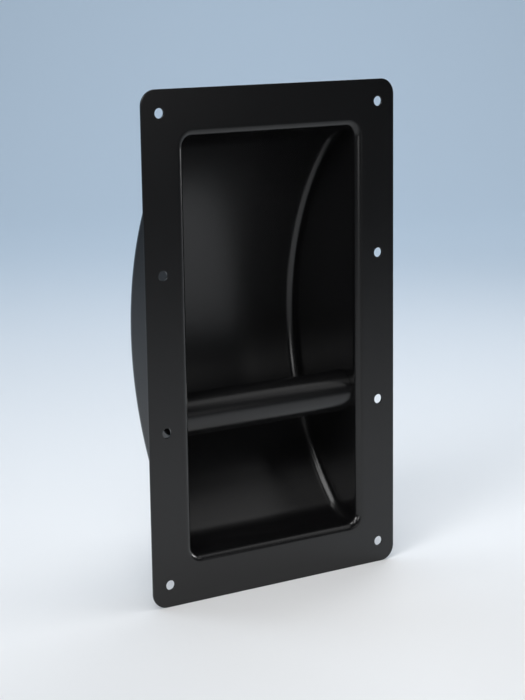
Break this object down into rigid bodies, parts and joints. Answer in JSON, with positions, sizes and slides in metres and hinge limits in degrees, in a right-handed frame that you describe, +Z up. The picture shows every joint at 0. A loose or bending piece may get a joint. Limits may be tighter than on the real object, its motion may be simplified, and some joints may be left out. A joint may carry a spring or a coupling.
{
  "type": "recessed bar handle",
  "caption": "Recessed carrying handle: a pressed steel dish with a drilled rectangular flange and a round tube grip welded across it.",
  "frame": {"origin": "centre of the flange's back face, the plane that seats on the cabinet panel, and centre of the corner hole pattern", "axes": "+X across the width, +Y into the cabinet, +Z up along the height; the visible front faces -Y"},
  "size_m": [0.15, 0.0627, 0.26],
  "materials": {
    "dish": "satin black powder coat",
    "grip": "satin black powder coat",
    "weld": "satin black powder coat over a weld bead"
  },
  "bodies": {
    "root": {"pressed_dish": "dish", "grip_tube": "grip", "weld_bead_left": "weld", "weld_bead_right": "weld"}
  },
  "joints": []
}
